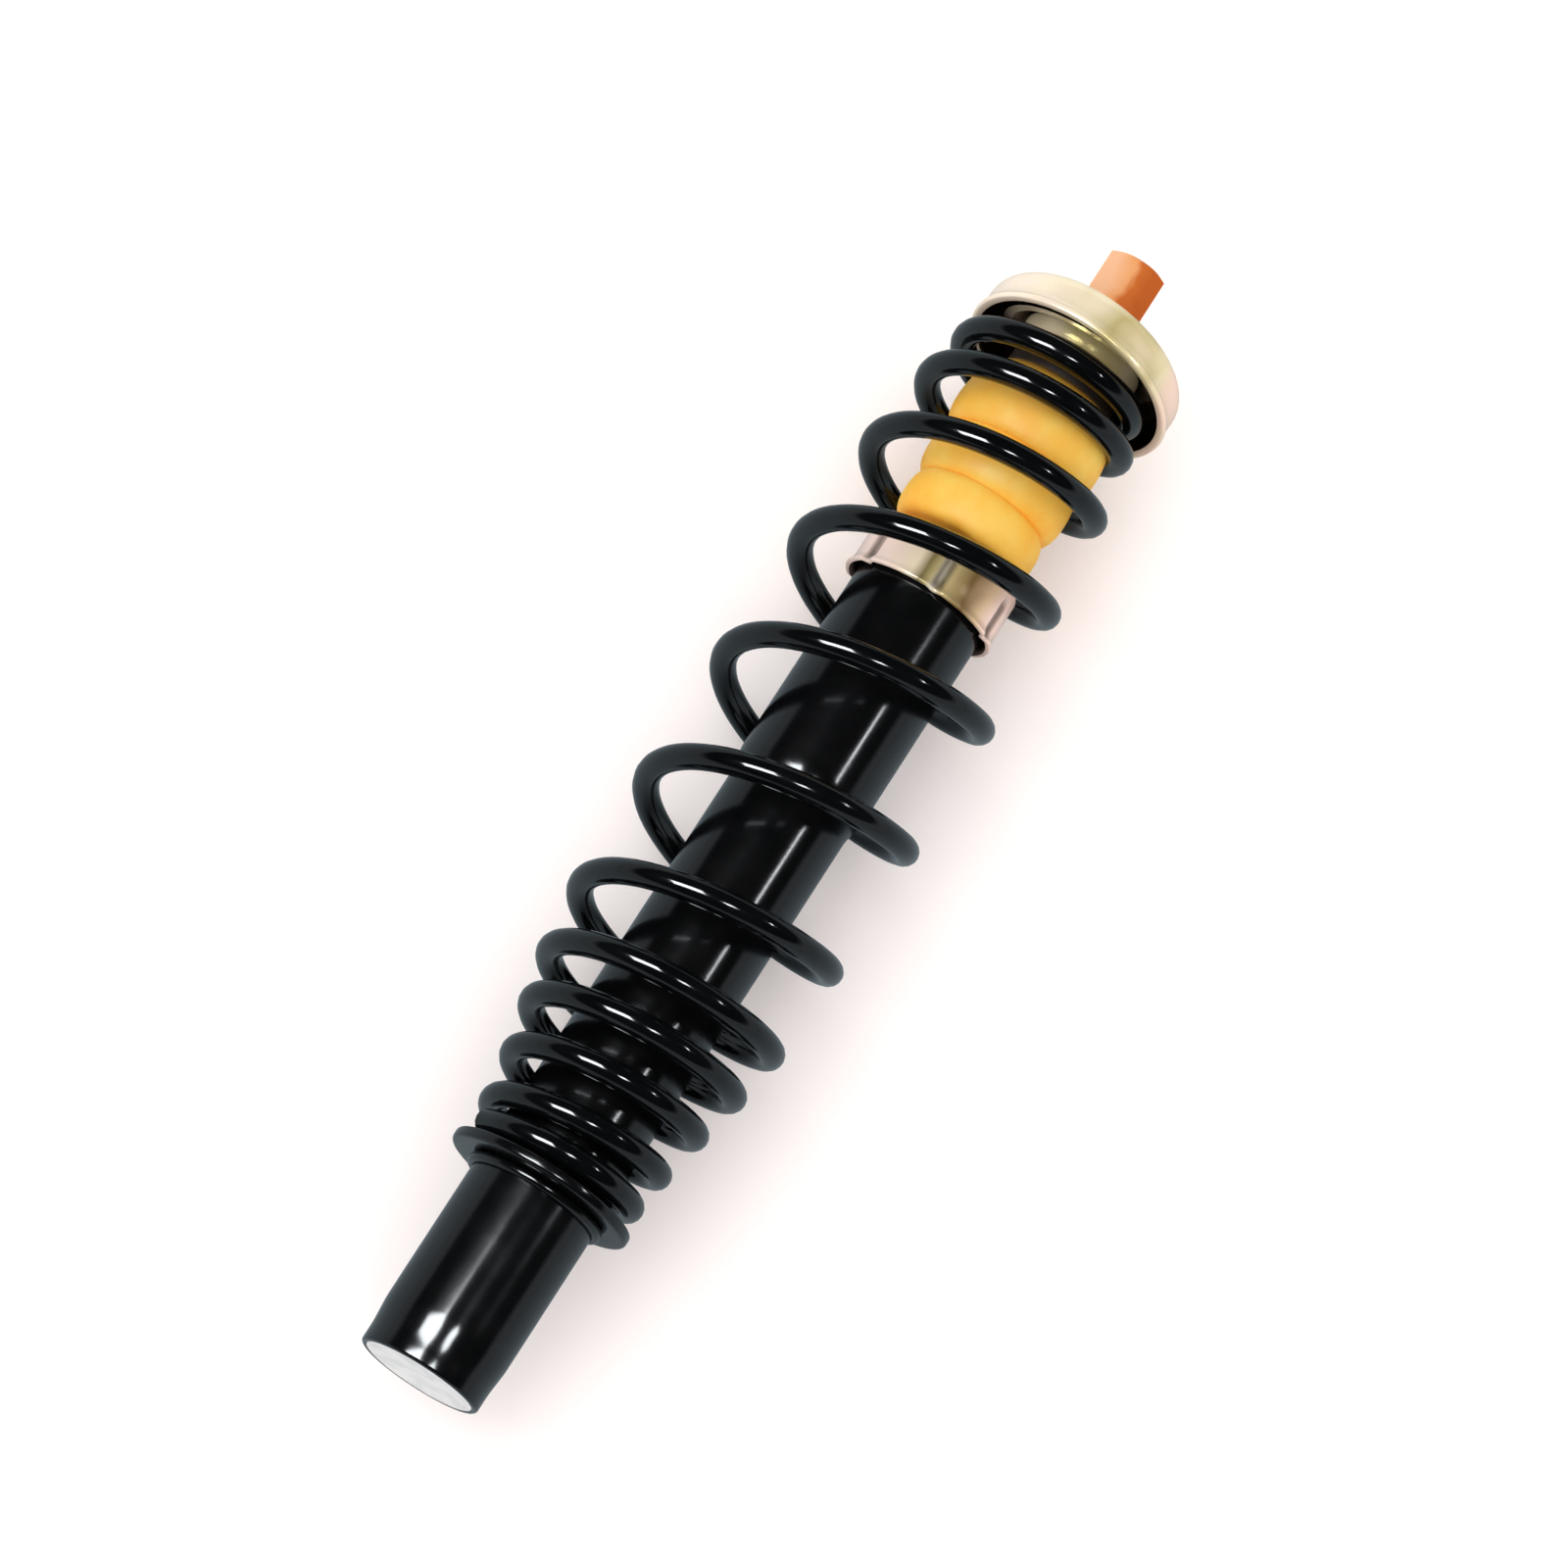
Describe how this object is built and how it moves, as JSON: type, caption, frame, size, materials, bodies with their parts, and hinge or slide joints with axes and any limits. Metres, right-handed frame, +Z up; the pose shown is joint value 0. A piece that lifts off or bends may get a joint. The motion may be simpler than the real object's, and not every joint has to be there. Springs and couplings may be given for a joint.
{
  "type": "front strut coilover",
  "caption": "Front suspension strut with a black tube body, barrel-shaped progressive spring, yellow bumper, zinc-plated spring retainer and top nut.",
  "frame": {"origin": "centre of the flat closed end of the body tube, on the strut's axis", "axes": "+X along the strut's axis from the closed end of the tube to the top nut, with the strut lying on its side; +Z up, towards the side where the retainer's rim stands highest; +Y to the side the spring leans to"},
  "size_m": [0.474, 0.1009, 0.1004],
  "materials": {
    "gloss_black_paint": "gloss black paint with a soft orange peel",
    "spring_paint": "thick gloss black powder coat",
    "pale_zinc": "clear zinc plating, satin",
    "yellow_zinc": "yellow zinc plating, glossy, faintly iridescent",
    "orange_zinc": "dark yellow zinc plating, satin",
    "yellow_urethane": "moulded urethane foam with a smooth skin",
    "seal_rubber": "matt black rubber",
    "sintered_iron": "fine grained sintered iron",
    "bush_bronze": "lead bronze bearing lining",
    "drawn_steel": "cold drawn steel, oiled",
    "bright_steel": "bright steel",
    "ptfe_band": "bronze filled PTFE",
    "rod_chrome": "hard chrome, ground"
  },
  "bodies": {
    "strut_body": {"body_tube": "gloss_black_paint", "body_end_plug": "pale_zinc", "seat_snap_ring": "gloss_black_paint", "lower_spring_seat": "gloss_black_paint", "bump_cap": "yellow_zinc", "rod_seal": "seal_rubber", "seal_garter_spring": "bright_steel", "rod_guide": "sintered_iron", "guide_bush": "bush_bronze", "pressure_tube": "drawn_steel", "foot_valve_body": "sintered_iron", "foot_valve_discs": "bright_steel", "foot_valve_bolt": "bright_steel", "foot_valve_nut": "bright_steel", "intake_spring": "bright_steel"},
    "foot_intake": {"intake_plate": "bright_steel"},
    "spring": {"coil_spring": "spring_paint"},
    "rod_assembly": {"piston_rod": "rod_chrome", "piston": "sintered_iron", "piston_band": "ptfe_band", "check_spring": "bright_steel", "check_stop_washer": "bright_steel", "rebound_discs": "bright_steel", "piston_nut": "bright_steel", "rebound_stop": "bright_steel", "rebound_cushion": "seal_rubber", "jounce_bumper": "yellow_urethane", "bumper_cup": "yellow_zinc", "top_spacer": "bright_steel", "upper_spring_retainer": "yellow_zinc", "top_washer": "yellow_zinc", "top_nut": "orange_zinc"},
    "piston_check": {"check_plate": "bright_steel"}
  },
  "joints": [
    {"name": "steer_swivel", "type": "hinge", "parent": "strut_body", "child": "spring", "pos_m": [0, 0, 0], "axis": [1, 0, 0], "range_deg": [-35, 35]},
    {"name": "strut_stroke", "type": "slide", "parent": "spring", "child": "rod_assembly", "axis": [-1, 0, 0], "range_m": [0, 0.055], "stiffness_N_per_m": 11000, "springref_m": -0.04, "deforming": ["coil_spring", "jounce_bumper"]},
    {"name": "intake_lift", "type": "slide", "parent": "strut_body", "child": "foot_intake", "axis": [1, 0, 0], "range_m": [0, 0.001], "stiffness_N_per_m": 300, "springref_m": -0.002, "deforming": ["intake_spring"]},
    {"name": "piston_check_lift", "type": "slide", "parent": "rod_assembly", "child": "piston_check", "axis": [1, 0, 0], "range_m": [0, 0.0008], "stiffness_N_per_m": 300, "springref_m": -0.002, "deforming": ["check_spring"]}
  ]
}
